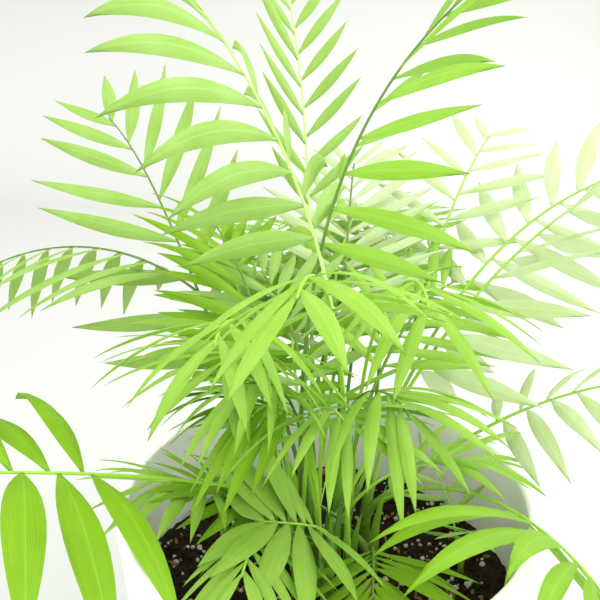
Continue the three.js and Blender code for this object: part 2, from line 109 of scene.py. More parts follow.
# A frond leaves its cane at the part `up` of the cane's height. Its direction starts at `rise`
# degrees above level towards `heading`, and has lost `droop` and turned by `sweep` at its tip.
# Leaflets start at the part `bare` of its length, `open0` to `open1` degrees off the rib.
USUAL = dict(
    up=0.7, bend=1.6, sweep=0, bare=0.5, pairs=10, leaf=0.110, roll=0, turn=0,
    open0=72, open1=28, lift=-10, sag=0.6, wide=1, slim=1, tone="fresh",
)
# `tone` picks a leaf green as painted light and shade: bright and pale where light falls, deep where
# shade falls, fresh elsewhere.
MAIN_FRONDS = {
    "frond_tall_left": dict(
        cane="front", heading=128, rise=92, droop=41.7, sweep=57.5, bend=1.32, length=0.402,
        bare=0.575, pairs=9, leaf=0.114, roll=27, turn=-30, lift=-12, sag=0.85, tone="bright",
    ),
    "frond_tall_right": dict(
        cane="left", heading=53.5, rise=92, droop=53.8, sweep=-63.8, bend=1.9, length=0.399,
        bare=0.54, pairs=9, leaf=0.105, roll=-60, turn=105, open0=85, open1=14, lift=-25, sag=0.5,
        wide=0.9,
    ),
    "frond_tall_back": dict(
        cane="back", heading=89, rise=66, droop=26, sweep=18, bend=1.7, length=0.490, bare=0.47,
        pairs=11, leaf=0.072, roll=-5, turn=-10, open0=55, open1=22, lift=35, sag=0.15,
        tone="bright",
    ),
    "frond_left_back": dict(
        cane="left_back", heading=120.5, rise=42.5, droop=22.5, sweep=7.5, bend=4, length=0.408,
        bare=0.33, pairs=8, leaf=0.122, roll=50, turn=-25, open0=84, open1=22, lift=39, sag=0.15,
        tone="bright",
    ),
    "frond_left_arching": dict(
        cane="back", heading=123, rise=75, droop=105, sweep=60, bend=1.1, length=0.405, bare=0.55,
        pairs=9, leaf=0.128, roll=-40, turn=30, open0=58, open1=45, lift=-25, sag=1.1, up=0.5,
        wide=0.85, tone="bright",
    ),
    "frond_low_left": dict(
        cane="back", heading=-120.5, rise=38.3, droop=23, sweep=-36, bend=2.5, length=0.310,
        bare=0.745, pairs=5, leaf=0.120, roll=25, turn=-25, open0=84, open1=50, lift=20, sag=1,
        up=0.9, wide=1.3, tone="deep",
    ),
    "frond_low_middle": dict(
        cane="near", heading=-75, rise=91, droop=92, sweep=-112, bend=1.2, length=0.102, bare=0.64,
        pairs=6, leaf=0.077, roll=36, turn=-25, open0=84, open1=42, lift=27, sag=0.67, up=0.75,
        wide=1.55,
    ),
    "frond_right_upper": dict(
        cane="right_back", heading=40, rise=61, droop=55, sweep=-42, bend=1.8, length=0.375,
        pairs=9, roll=-15, turn=-30, open0=75, open1=24, lift=-40, sag=0.25, tone="pale",
    ),
    "frond_right_middle": dict(
        cane="middle", heading=42.5, rise=49, droop=19.8, sweep=-61.7, bend=2.06, length=0.386,
        bare=0.36, leaf=0.125, roll=30, turn=25, open0=86, open1=25, lift=-30, sag=0.25,
        tone="pale",
    ),
    "frond_right_low": dict(
        cane="right", heading=15.5, rise=36.5, droop=12.5, sweep=-73, bend=1.66, length=0.251,
        bare=0.45, pairs=8, leaf=0.115, roll=-10, turn=28, open0=84, open1=24, lift=2, sag=0.5,
        up=0.85, wide=0.85, tone="pale",
    ),
    "frond_low_right": dict(
        cane="right", heading=-40, rise=53.5, droop=56, sweep=-34.5, bend=0.83, length=0.217,
        bare=0.7, pairs=6, leaf=0.145, roll=25, turn=28, open0=84, open1=50, up=0.9, wide=0.7,
        tone="deep",
    ),
    "frond_near_middle": dict(
        cane="front", heading=-107, rise=81, droop=87, sweep=9, bend=2.96, length=0.330, bare=0.70,
        pairs=6, leaf=0.080, roll=-15, open0=68, open1=26, lift=-12, sag=0.95, wide=0.95,
    ),
    "frond_centre_left": dict(
        cane="left", heading=-129.5, rise=87, droop=112.7, sweep=31.5, bend=4.28, length=0.260,
        bare=0.68, pairs=6, leaf=0.088, open0=70, open1=30, lift=-18, sag=0.9, up=0.4, wide=0.8,
    ),
    "frond_centre_right": dict(
        cane="right_back", heading=-62, rise=86, droop=110, sweep=-30, bend=3, length=0.270,
        bare=0.66, pairs=6, leaf=0.088, open0=68, lift=-15, sag=0.9, up=0.9, wide=0.8,
    ),
    "frond_right_back": dict(
        cane="right", heading=60, rise=60.5, droop=45, sweep=-1.5, bend=2.26, length=0.338,
        bare=0.58, pairs=6, leaf=0.080, roll=-10, lift=10, sag=0.4, up=0.9, tone="pale",
    ),
}

GOLDEN = 0.618  # golden share, which spreads the headings of a ring
SEED = 7
# Each ring deals its `tones` out in turn, so its fronds get painted light and painted shade.
RINGS = {
    "outer": dict(
        count=9, start=60, span=46, offset=0.3, pairs=8, up=0.35, bend=1.5, wide=0.8,
        canes=("back", "left_back", "right_back", "centre", "far_left", "right", "middle"),
        tones=("pale", "fresh", "bright"),
        ranges=dict(
            rise=(60, 72), droop=(50, 80), sweep=(-25, 25), length=(0.290, 0.350),
            bare=(0.46, 0.54), leaf=(0.088, 0.108), roll=(-20, 20), lift=(-25, 20), sag=(0.3, 0.8),
        ),
    ),
    "inner": dict(
        count=14, start=62, span=76, offset=0, pairs=7, up=0.6, bend=1.4, wide=0.85,
        canes=("centre", "far_right", "far_left", "left", "right_back", "middle", "near"),
        tones=("deep", "fresh", "bright"),
        ranges=dict(
            rise=(70, 84), droop=(50, 90), sweep=(-30, 30), length=(0.190, 0.270),
            bare=(0.46, 0.56), leaf=(0.074, 0.092), roll=(-25, 25), lift=(-25, 20), sag=(0.4, 0.9),
        ),
    ),
    "hanging": dict(
        count=14, start=-145, span=115, offset=0.3, pairs=6, up=0.5, bend=5, wide=0.75,
        canes=("left", "centre", "middle", "right_back", "near", "left_back", "middle", "back",
               "centre"),
        tones=("fresh", "deep", "fresh"),
        ranges=dict(
            rise=(82, 86), droop=(100, 130), sweep=(-40, 40), length=(0.160, 0.260),
            bare=(0.60, 0.72), leaf=(0.072, 0.094), open0=(62, 74), open1=(24, 34), lift=(-25, 5),
            sag=(0.7, 1.2),
        ),
    ),
    "short": dict(
        count=12, start=-180, span=180, offset=0, pairs=6, up=0.3, bend=1.2, wide=1.0,
        canes=("near", "far_left", "front", "left", "far_right", "middle"),
        tones=("deep", "fresh"),
        ranges=dict(
            rise=(62, 78), droop=(50, 85), sweep=(-40, 40), length=(0.110, 0.160), bare=(0.5, 0.6),
            leaf=(0.060, 0.078), roll=(-25, 25), lift=(-20, 20), sag=(0.4, 0.9),
        ),
    ),
}
NEXT_ON_CANE = 0.25  # how much higher the next frond of the same cane leaves it
SEEDLING_HEADINGS = (110, 185, 260)
SEEDLING = dict(
    cane="seedling", rise=76, droop=60, length=0.085, bare=0.4, pairs=5, leaf=0.042, lift=5,
    sag=0.3, up=0.5, slim=0.6, tone="bright",
)
TURNS = (0, 9, -9, 18, -18, 27, -27, 36, -36)  # tried in turn until a frond stands clear
# leaf greens: painted light (bright, pale), the usual green (fresh) and painted shade (deep)
TONES = ("bright", "fresh", "deep", "pale")
DARK_STALKS = ("frond_tall_right", "frond_left_back", "frond_left_arching")
# stalks washed paler as a painted sheen
SHEEN_STALKS = ("frond_tall_left", "frond_tall_back")


# ---------- settings ----------
def colour(name, description, default):
    """A colour property."""
    return FloatVectorProperty(name=name, description=description, default=default,
                               subtype="COLOR", size=3, min=0, max=1)


def size(name, description, default):
    """A length property in metres."""
    return FloatProperty(name=name, description=description, default=default, unit="LENGTH",
                         precision=4)


def plain_number(name, description, default):
    """A plain number property."""
    return FloatProperty(name=name, description=description, default=default)


def whole_number(name, description, default):
    """A whole number property."""
    return IntProperty(name=name, description=description, default=default)


class PotSettings(bpy.types.PropertyGroup):
    """Sizes and colours of the glazed pot."""
    rim_radius: size("Rim radius", "Outside of the pot's lip", RIM_RADIUS)
    rim_height: size("Rim height", "Top of the lip above the floor", RIM_HEIGHT)
    foot_radius: size("Foot radius", "Outside of the pot at its foot", FOOT_RADIUS)
    wall: size("Wall", "Thickness of the pot's wall and floor", WALL)
    # glaze: cream-white, tinted a little green as a painted reflection of the leaves
    glaze: colour("Glaze", "Colour of the glaze", (0.95, 0.955, 0.885))
    clay: colour("Clay", "Bare clay under the foot", (0.62, 0.55, 0.45))


class MixSettings(bpy.types.PropertyGroup):
    """Sizes, counts and colours of the potting mix."""
    perlite_count: whole_number("Perlite grains", "White grains on the mix", 420)
    bark_count: whole_number("Bark bits", "Flat brown chips on the mix", 260)
    crumb_count: whole_number("Crumbs", "Dark crumbs on the mix", 2600)
    perlite_size: size("Perlite size", "Usual width of a perlite grain", 0.0032)
    bark_size: size("Bark size", "Usual length of a bark bit", 0.0065)
    crumb_size: size("Crumb size", "Usual width of a crumb", 0.0030)
    peat: colour("Peat", "Colour of the moist mix", (0.014, 0.009, 0.005))
    perlite: colour("Perlite", "Colour of the perlite grains", (0.62, 0.59, 0.49))
    bark: colour("Bark", "Colour of the bark bits", (0.17, 0.07, 0.022))


class CaneSettings(bpy.types.PropertyGroup):
    """Sizes and colours of the canes and of the sheaths that clasp them."""
    flare: size("Flare", "How much a cane widens where it leaves the mix", 0.0018)
    ring: size("Ring", "How far an old leaf's ring stands out", 0.0002)
    spear: plain_number("Spear", "Tip of the rolled young leaf, in heights of its cane", 2.1)
    # cane green: the canes' own green, darkened as painted shade of the crowded clump
    green: colour("Cane green", "Colour of a cane between its rings", (0.12, 0.25, 0.014))
    scar: colour("Ring colour", "Colour of the rings on a cane", (0.16, 0.17, 0.05))
    # sheath: its own green, darkened as painted shade of the clump
    sheath: colour("Sheath", "Colour of the sheaths", (0.15, 0.28, 0.04))


class FrondSettings(bpy.types.PropertyGroup):
    """Sizes and colours of the fronds."""
    width: plain_number("Leaflet width", "Width of a leaflet for its length", 0.118)
    thickness: size("Leaflet thickness", "Thickness of a leaflet at its midrib", 0.0007)
    finer: plain_number("Extra leaflets", "Pairs on a filling frond for each of its solid", 1.35)
    rib_tip: size("Rib tip", "Radius of a rib at its last leaflets", 0.0007)
    veins: whole_number("Veins", "Veins across a leaflet", 9)
    # bright: the leaf green with painted light and a whitish painted sheen, for the lit upper fronds
    bright: colour("Bright", "Youngest leaflets", (0.375, 0.55, 0.165))
    fresh: colour("Fresh", "Usual leaflets", (0.36, 0.57, 0.095))
    # deep: the leaf green darkened as painted shade, for low, inner and hanging fronds
    deep: colour("Deep", "Old or shaded leaflets", (0.25, 0.455, 0.014))
    # pale: the leaf green washed out as painted window light, for the fronds on the window's side
    pale: colour("Pale", "Leaflets nearest the window", (0.60, 0.69, 0.49))
    stalk: colour("Stalk", "Petioles and ribs", (0.21, 0.40, 0.025))
    dark_stalk: colour("Dark stalk", "Older petioles and ribs", (0.075, 0.155, 0.012))
    # pale stalk: the stalk green washed paler as a painted sheen
    sheen_stalk: colour("Pale stalk", "Young petioles and ribs", (0.36, 0.57, 0.15))


class StageSettings(bpy.types.PropertyGroup):
    """The floor, the light and the camera."""
    floor: colour("Floor", "Colour of the floor and the wall behind", (0.435, 0.445, 0.425))
    window: plain_number("Window light", "Strength of the light from behind", 42)
    fill: plain_number("Fill light", "Strength of the light from the front", 14)
    room: plain_number("Room light", "Strength of the light from all round", 2.15)


class PalmSettings(bpy.types.PropertyGroup):
    """All settings of the potted palm."""
    pot: PointerProperty(type=PotSettings, name="Pot", description="The glazed pot")
    mix: PointerProperty(type=MixSettings, name="Mix", description="The potting mix")
    canes: PointerProperty(type=CaneSettings, name="Canes", description="Canes and sheaths")
    fronds: PointerProperty(type=FrondSettings, name="Fronds", description="Fronds")
    stage: PointerProperty(type=StageSettings, name="Stage", description="Floor, light, camera")


# ---------- numbers and meshes ----------
def unit(vectors):
    """Each vector divided by its own length."""
    return vectors / np.linalg.norm(vectors, axis=-1, keepdims=True)


def blend(low, high, part):
    """The value this part of the way from low to high."""
    return low + (high - low) * part


def seeded_dice(seed):
    """A function that gives the next value between low and high: state * 1664525 + 1013904223,
    kept to 32 bits, divided by 2 to the power 32."""
    state = seed

    def roll(low, high):
        nonlocal state
        state = (state * 1664525 + 1013904223) % 4294967296
        return low + (high - low) * (state / 4294967296)

    return roll


def ring_of(count):
    """Cosines and sines of this many even steps round a circle."""
    angles = np.arange(count) * 2 * np.pi / count
    return np.cos(angles), np.sin(angles)


def stacked(*values):
    """Values spread over their common grid, side by side along a last axis."""
    return np.stack(np.broadcast_arrays(*values), axis=-1)


def placed(name, data):
    """A new object with this data, in the scene."""
    thing = bpy.data.objects.new(name, data)
    bpy.context.scene.collection.objects.link(thing)
    return thing


def skin(name, grid, starts, ends, places=None, sharp=()):
    """A mesh of closed bodies. grid holds, for each body, rings of points that run anticlockwise
    about the way forward; quads join each ring to the next, and a fan joins the first to its
    body's point in starts and the last to its point in ends. The map called place gives each
    corner its part of the way forward, and its place round the ring, from 0 to 1 or, by `places`,
    from one value to another on each side. Lines along the body at the sides in `sharp` are hard
    edges."""
    bodies, rings, sides = grid.shape[:3]
    whole = rings * sides + 2
    last = (rings - 1) * sides
    corners = np.concatenate([grid.reshape(bodies, -1, 3), starts[:, None], ends[:, None]], axis=1)
    side = np.arange(sides)
    after = (side + 1) % sides
    row = np.arange(rings - 1)[:, None] * sides
    quads = stacked(row + side, row + after, row + after + sides, row + side + sides)
    fans = np.concatenate([stacked(whole - 2, after, side),
                           stacked(whole - 1, last + side, last + after)])
    base = (np.arange(bodies) * whole)[:, None]
    loops = np.concatenate([(base + faces.reshape(-1)).reshape(-1) for faces in (quads, fans)])

    first, second = places or (side / sides, (side + 1) / sides)
    first, second = np.asarray(first, float), np.asarray(second, float)
    middle = (first + second) / 2
    forward = np.arange(rings) / rings
    near, far = forward[:-1, None], forward[1:, None]
    quad_map = stacked(near, first, near, second, far, second, far, first)
    fan_map = np.concatenate([stacked(0, middle, 0, second, 0, first),
                              stacked(1, middle, forward[-1], first, forward[-1], second)])
    corner_map = np.concatenate([np.tile(part.reshape(-1), bodies) for part in (quad_map, fan_map)])

    mesh = bpy.data.meshes.new(name)
    mesh.vertices.add(bodies * whole)
    mesh.vertices.foreach_set("co", corners.astype(np.float32).reshape(-1))
    mesh.loops.add(len(loops))
    mesh.loops.foreach_set("vertex_index", loops.astype(np.int32))
    quad_count, fan_count = bodies * last, bodies * 2 * sides
    mesh.polygons.add(quad_count + fan_count)
    begins = [np.arange(quad_count) * 4, quad_count * 4 + np.arange(fan_count) * 3]
    mesh.polygons.foreach_set("loop_start", np.concatenate(begins).astype(np.int32))
    mesh.update(calc_edges=True)
    mesh.validate()
    mesh.polygons.foreach_set("use_smooth", np.ones(len(mesh.polygons), bool))
    layer = mesh.uv_layers.new(name="place")
    layer.uv.foreach_set("vector", corner_map.astype(np.float32))
    if sharp:
        pairs = np.zeros(len(mesh.edges) * 2, np.int32)
        mesh.edges.foreach_get("vertices", pairs)
        local = pairs.reshape(-1, 2) % whole
        along = (np.abs(local[:, 0] - local[:, 1]) == sides) & (local.max(axis=1) < rings * sides)
        hard = along & np.isin(local[:, 0] % sides, sharp)
        mesh.attributes.new("sharp_edge", "BOOLEAN", "EDGE").data.foreach_set("value", hard)
    return placed(name, mesh)


def dress(piece, material, nodes=()):
    """Gives a piece its material and body, and hides the solids that it replaces."""
    piece.data.materials.append(material)
    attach(piece, "root")
    if nodes:
        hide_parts(*nodes)
    return piece


# ---------- materials ----------
def maths(operation, reflected=False):
    """A method that adds a Math node for a wire and what else it is given."""
    def method(self, *others):
        values = (*others, self) if reflected else (self, *others)
        inputs = dict(enumerate(values))
        return self.finish.node("ShaderNodeMath", {"operation": operation}, inputs)

    return method


class Wire:
    """An output socket; arithmetic on it adds Math nodes and gives their output."""

    __add__ = __radd__ = maths("ADD")
    __sub__ = maths("SUBTRACT")
    __rsub__ = maths("SUBTRACT", reflected=True)
    __mul__ = __rmul__ = maths("MULTIPLY")
    __gt__ = maths("GREATER_THAN")
    __abs__ = maths("ABSOLUTE")
    sine = maths("SINE")

    def __init__(self, finish, socket):
        self.finish = finish
        self.socket = socket

    def clamped(self):
        return self.finish.node("ShaderNodeClamp", {}, {0: self})


class Finish:
    """A material whose nodes are added one by one."""

    def __init__(self, name):
        self.material = bpy.data.materials.new(name)
        self.material.use_nodes = True
        self.tree = self.material.node_tree
        self.tree.nodes.clear()

    def node(self, kind, settings, inputs, output=0):
        """Adds a node, sets its settings first, then gives its sockets values or links."""
        made = self.tree.nodes.new(kind)
        for name, value in settings.items():
            setattr(made, name, value)
        for key, value in inputs.items():
            if isinstance(value, Wire):
                self.tree.links.new(value.socket, made.inputs[key])
            elif hasattr(value, "__len__") and len(value) == 3 and made.inputs[key].type == "RGBA":
                made.inputs[key].default_value = (*value, 1.0)
            else:
                made.inputs[key].default_value = value
        return Wire(self, made.outputs[output]) if made.outputs else None

    def mix(self, factor, low, high):
        return self.node("ShaderNodeMix", {"data_type": "RGBA"}, {0: factor, 6: low, 7: high}, 2)

    def noise(self, scale, detail=3.0, roughness=0.55):
        """Noise at this many patches to the metre, from 0 to 1."""
        return self.noise_at(self.spot(), scale, detail, roughness)

    def noise_at(self, spot, scale, detail, roughness):
        named = {"Vector": spot, "Scale": scale, "Detail": detail, "Roughness": roughness}
        return self.node("ShaderNodeTexNoise", {}, named)

    def grain(self, along, across):
        """Noise in the piece's own map, so many patches along it and so many across."""
        spot = self.node("ShaderNodeCombineXYZ", {}, {0: along, 1: across})
        return self.noise_at(spot, 1.0, 3.0, 0.6)

    def spot(self):
        """The place on the object, in metres."""
        return self.node("ShaderNodeTexCoord", {}, {}, 3)

    def height(self):
        """How high above the floor."""
        return self.node("ShaderNodeSeparateXYZ", {}, {0: self.spot()}, 2)

    def place(self):
        """The way forward along a piece, and the place round it."""
        spot = self.node("ShaderNodeUVMap", {"uv_map": "place"}, {})
        return [self.node("ShaderNodeSeparateXYZ", {}, {0: spot}, axis) for axis in (0, 1)]

    def bump(self, height, strength, distance):
        named = {"Height": height, "Strength": strength, "Distance": distance}
        return self.node("ShaderNodeBump", {}, named)

    def surface(self, **inputs):
        named = {name.replace("_", " "): value for name, value in inputs.items()}
        return self.node("ShaderNodeBsdfPrincipled", {}, named)

    def done(self, shader):
        self.node("ShaderNodeOutputMaterial", {}, {0: shader})
        return self.material


def toned(tint, by, plus=0):
    """A colour lightened or darkened: each part times `by`, plus `plus`, and at most 1."""
    return [min(1, part * by + plus) for part in tint]


def glaze_finish(settings):
    """Cream-white glaze, tinted a little green as a painted reflection of the leaves, a little
    uneven, over clay that shows at the foot's edge.
    """
    finish = Finish("pot_glaze")
    cloud = finish.noise(14, 4)
    speck = finish.noise(900, 2)
    glaze = finish.mix(cloud, settings.glaze, toned(settings.glaze, 0.93))
    glaze = finish.mix((speck > 0.72) * 0.25, glaze, settings.clay)
    bare = (1 - (finish.height() + finish.noise(300) * 0.001 - 0.0012) * 2500).clamped()
    return finish.done(finish.surface(
        Base_Color=finish.mix(bare, glaze, settings.clay),
        Roughness=0.16 + cloud * 0.08 + bare * 0.5,
        Normal=finish.bump(finish.noise(60, 2), 0.12, 0.001),
        Coat_Weight=0.4, Coat_Roughness=0.08,
    ))


def peat_finish(settings):
    """Moist dark mix with browner crumbs."""
    finish = Finish("mix_peat")
    patch = finish.noise(160, 5, 0.7)
    fibre = finish.noise(700, 3, 0.7)
    brown = toned(settings.peat, 2.6, 0.006)
    return finish.done(finish.surface(
        Base_Color=finish.mix((patch * 1.7 - 0.55).clamped(), settings.peat, brown),
        Roughness=0.7 + fibre * 0.25,
        Normal=finish.bump(patch * 0.7 + fibre * 0.5, 0.9, 0.002),
        Specular_IOR_Level=0.12,
    ))


def perlite_finish(settings):
    """Puffed white grains with small pits."""
    finish = Finish("mix_perlite")
    pit = finish.noise(1500, 3, 0.6)
    dirt = finish.noise(420, 3, 0.6)
    stained = toned(settings.perlite, 0.55)
    return finish.done(finish.surface(
        Base_Color=finish.mix((dirt * 2 - 0.75).clamped(), settings.perlite, stained),
        Roughness=0.8 + pit * 0.15,
        Normal=finish.bump(pit, 0.8, 0.0006),
    ))


def bark_finish(settings):
    """Fibrous brown bark."""
    finish = Finish("mix_bark")
    grain = finish.noise(900, 4, 0.7)
    patch = finish.noise(160, 2)
    light = toned(settings.bark, 2.2, 0.03)
    return finish.done(finish.surface(
        Base_Color=finish.mix((grain + patch - 0.6).clamped(), settings.bark, light),
        Roughness=0.75 + grain * 0.2,
        Normal=finish.bump(grain, 0.9, 0.001),
    ))


def cane_finish(settings, rings):
    """Green cane with pale rings at the parts of its height in `rings`, and a browner foot."""
    finish = Finish("cane_skin")
    forward = finish.place()[0]
    streak = finish.noise(500, 4, 0.6)
    scar = sum((1 - abs(forward - ring) * 30).clamped() for ring in rings)
    foot = (1 - forward * 5).clamped()
    # the cane green carries painted shade, darker than its own colour
    green = finish.mix(streak * 0.8, settings.green, toned(settings.green, 1.6))
    ringed = finish.mix((scar * 0.9).clamped(), green, settings.scar)
    return finish.done(finish.surface(
        Base_Color=finish.mix(foot * 0.6, ringed, toned(settings.scar, 0.5)),
        Roughness=0.45 + streak * 0.2,
        Normal=finish.bump(streak + scar, 0.4, 0.0005),
        Specular_IOR_Level=0.2,
    ))


def stalk_finish(name, tint):
    """Smooth stalk with fine lines along it, paler at its foot."""
    finish = Finish(name)
    forward, around = finish.place()
    line = (around * (2 * math.pi * 11)).sine() * 0.5 + 0.5
    patch = finish.noise(90, 3)
    pale = toned(tint, 1.45, 0.03)
    shade = (patch * 0.6 + line * 0.25 + (1 - forward * 6).clamped() * 0.5).clamped()
    return finish.done(finish.surface(
        Base_Color=finish.mix(shade, tint, pale),
        Roughness=0.38 + patch * 0.15,
        Normal=finish.bump(line, 0.25, 0.0002),
        Specular_IOR_Level=0.2,
    ))


LIGHT_THROUGH = 0.42  # share of the shader that lets light through a leaflet


def leaf_finish(name, tint, veins):
    """Satin leaflet that lets light through: paler below, paler along its midrib as its own colour
    and as painted sheen, with a painted sheen at its foot, fine veins and darker streaks from foot
    to tip."""
    finish = Finish(name)
    forward, across = finish.place()
    under = across > 2
    lateral = across - 4 * under
    vein = (lateral * (math.pi * veins)).sine()
    vein = vein * vein
    streak = finish.grain(forward * 2.5, lateral * 11)
    midrib = (1 - abs(lateral) * 12).clamped()
    foot = (1 - forward * 9).clamped()
    mottle = finish.noise(40, 4, 0.6)
    pale = toned(tint, 1.2, 0.05)
    dark = [tint[0] * 0.66, tint[1] * 0.74, tint[2] * 0.3]
    body = finish.mix((mottle * 1.7 + streak * 1.7 - 1.25).clamped(), tint, dark)
    body = finish.mix(vein * 0.22, body, pale)
    body = finish.mix(under * 0.55, body, pale)
    # paler at the midrib, partly its own colour and partly painted sheen, and paler at the foot as
    # painted sheen
    body = finish.mix((midrib * 0.5 + foot * 0.6).clamped(), body, pale)
    skin_shader = finish.surface(
        Base_Color=body,
        Roughness=0.36 + mottle * 0.14 + under * 0.12,
        Normal=finish.bump(vein * 0.5 + streak + midrib, 0.4, 0.0003),
        Specular_IOR_Level=0.15,
    )
    glow = [min(1, tint[0] * 1.15 + 0.03), min(1, tint[1] * 1.15 + 0.04), tint[2]]
    through = finish.node("ShaderNodeBsdfTranslucent", {}, {"Color": glow})
    both = {0: LIGHT_THROUGH, 1: skin_shader, 2: through}
    return finish.done(finish.node("ShaderNodeMixShader", {}, both))


def plain_finish(name, tint):
    """Plain matt colour with the least unevenness."""
    finish = Finish(name)
    cloud = finish.noise(1.5, 2)
    return finish.done(finish.surface(
        Base_Color=finish.mix(cloud * 0.5, tint, toned(tint, 0.97)),
        Roughness=0.7,
    ))


# ---------- pot and potting mix ----------
def arc(centre, radius, first, last, count):
    """Points of a circle's arc from one angle to another, in degrees, as (out, up)."""
    angles = np.radians(np.linspace(first, last, count))
    return stacked(centre[0] + radius * np.cos(angles), centre[1] + radius * np.sin(angles))


def line(start, end, count):
    """Points on a straight line, without its ends."""
    parts = np.linspace(0, 1, count + 2)[1:-1, None]
    return np.asarray(start) * (1 - parts) + np.asarray(end) * parts


def turned(profile, sides):
    """A profile of (out, up) points turned round the upright axis: out times cosine, out times
    sine, up."""
    cosine, sine = ring_of(sides)
    out, up = profile[:, 0, None], profile[:, 1, None]
    return stacked(out * cosine, out * sine, up)[None]


def pot_radius(height):
    """Outside of the pot's wall at a height."""
    return blend(FOOT_RADIUS, RIM_RADIUS, height / RIM_HEIGHT)


LUMPS = (  # direction in radians, length and height of each wave
    (0.3, 0.021, 0.0011), (1.1, 0.0113, 0.0008), (2.2, 0.0067, 0.0006), (0.8, 0.0041, 0.0004),
)


def bed_lumps(x, y):
    """Small lumps of the mix: a sum of crossed waves, each shorter and lower than the last."""
    total = 0
    for turn, wave, rise in LUMPS:
        a = (x * math.cos(turn) + y * math.sin(turn)) / wave * 2 * math.pi
        b = (y * math.cos(turn) - x * math.sin(turn)) / (wave * 1.3) * 2 * math.pi
        total = total + rise * np.sin(a + 2 * np.sin(b * 0.37)) * np.cos(b + turn)
    return total


def bed_height(x, y):
    """Height of the mix: level round the canes, in waves that grow towards the wall, and lumpy."""
    out = np.maximum(0, (np.hypot(x, y) - LEVEL_MIX) / (RIM_RADIUS - LEVEL_MIX))
    waves = np.sin(x / 0.017 + 1.3) * np.cos(y / 0.021) + 0.5 * np.sin((x - y) / 0.009)
    return MIX_HEIGHT + MIX_RISE * out * (0.4 + waves) + bed_lumps(x, y)


# ---------- canes ----------
def cane_radius(part):
    """Radius of a cane, from its foot at 0 to its top at 1."""
    return blend(CANE_BASE, CANE_TOP, part)


def cane_middle(cane, part):
    """Middle of a cane at a part of its height; it leans outwards by the square of that part."""
    x, y = cane["at"]
    away = math.hypot(x, y) or 1
    spread = 1 + CANE_LEAN * cane["height"] * part * part / away
    return np.array([x * spread, y * spread, MIX_HEIGHT + GAP + cane["height"] * part])


# ---------- fronds ----------
def foot_of(frond, level):
    """Where a petiole starts: against the side of its cane."""
    cane = CANES[frond["cane"]]
    inward = PETIOLE * frond["slim"] / 2 * math.sin(math.radians(frond["rise"]))
    reach = cane_radius(frond["up"]) * cane["slim"] + SIDE_GAP + inward
    return cane_middle(cane, frond["up"]) + level * reach


class Stalk:
    """The curve of a petiole and rib. At each step its direction has lost droop times part to
    the power bend in rise, and turned by sweep times the same; the points add up those
    directions."""

    def __init__(self, name, frond):
        self.name = name
        self.frond = frond
        part = np.linspace(0, 1, CURVE_STEPS + 1)[:, None]
        bent = part ** frond["bend"]
        rise = np.radians(frond["rise"] - frond["droop"] * bent)
        heading = np.radians(frond["heading"] + frond["sweep"] * bent)
        level = np.hstack([np.cos(heading), np.sin(heading), 0 * heading])
        self.along = level * np.cos(rise) + UP * np.sin(rise)
        self.side = np.hstack([np.sin(heading), -np.cos(heading), 0 * heading])
        self.above = np.cross(self.side, self.along)
        roll = np.radians(frond["roll"] + frond["turn"] * part)
        self.leaf_side = self.side * np.cos(roll) + self.above * np.sin(roll)
        self.leaf_above = self.above * np.cos(roll) - self.side * np.sin(roll)
        steps = unit(self.along[1:] + self.along[:-1]) * frond["length"] / CURVE_STEPS
        self.points = foot_of(frond, level[0]) + np.vstack([np.zeros(3), np.cumsum(steps, axis=0)])

    def at(self, name, parts):
        """The named curve at these parts of the length, in a straight line between steps."""
        steps = np.atleast_1d(parts) * CURVE_STEPS
        low = np.minimum(steps.astype(int), CURVE_STEPS - 1)
        share = (steps - low)[:, None]
        values = getattr(self, name)
        return values[low] * (1 - share) + values[low + 1] * share


def stands_clear(stalk, others):
    """Whether a stalk keeps clear of the pot, the mix, the other canes and the other stalks."""
    points = stalk.points
    if (points[:, 2] < MIX_HEIGHT + POT_SPACE).any():
        return False
    outside = np.hypot(points[:, 0], points[:, 1]) >= RIM_RADIUS - WALL - POT_SPACE
    if (outside & (points[:, 2] < RIM_HEIGHT + POT_SPACE)).any():
        return False
    for name, cane in CANES.items():
        low = points[:, 2] < MIX_HEIGHT + cane["height"] + CANE_SPACE_ABOVE
        near = np.hypot(*(points[:, :2] - cane["at"]).T) < CANE_SPACE
        if name != stalk.frond["cane"] and (low & near).any():
            return False
    for other in others:
        apart = np.linalg.norm(points[:, None] - other.points[None], axis=2)
        if apart.min() < STALK_SPACE:
            return False
    return True


def ring_fronds(ring, dice):
    """The fronds of one ring: each number rolled in its range, headings spread by GOLDEN."""
    fronds = []
    for index in range(ring["count"]):
        frond = dict(bend=ring["bend"], pairs=ring["pairs"], wide=ring["wide"])
        for name, (low, high) in ring["ranges"].items():
            frond[name] = dice(low, high)
        frond["cane"] = ring["canes"][index % len(ring["canes"])]
        frond["heading"] = ring["start"] + ring["span"] * ((index * GOLDEN + ring["offset"]) % 1)
        frond["up"] = ring["up"] + NEXT_ON_CANE * (index // len(ring["canes"]))
        frond["tone"] = ring["tones"][index % len(ring["tones"])]
        frond["filling"] = True
        fronds.append(frond)
    return fronds


def plant_stalks():
    """Every frond's stalk; one of a ring is turned until it stands clear, or left out."""
    stalks = [Stalk(name, {**USUAL, **frond}) for name, frond in MAIN_FRONDS.items()]
    dice = seeded_dice(SEED)
    rings = {kind: ring_fronds(ring, dice) for kind, ring in RINGS.items()}
    rings["seedling"] = [{**SEEDLING, "heading": heading} for heading in SEEDLING_HEADINGS]
    for kind, fronds in rings.items():
        number = 0
        for frond in fronds:
            for turn in TURNS:
                stalk = Stalk("", {**USUAL, **frond, "heading": frond["heading"] + turn})
                if stands_clear(stalk, stalks):
                    number += 1
                    stalk.name = f"frond_{kind}_{number}"
                    stalks.append(stalk)
                    break
    return stalks


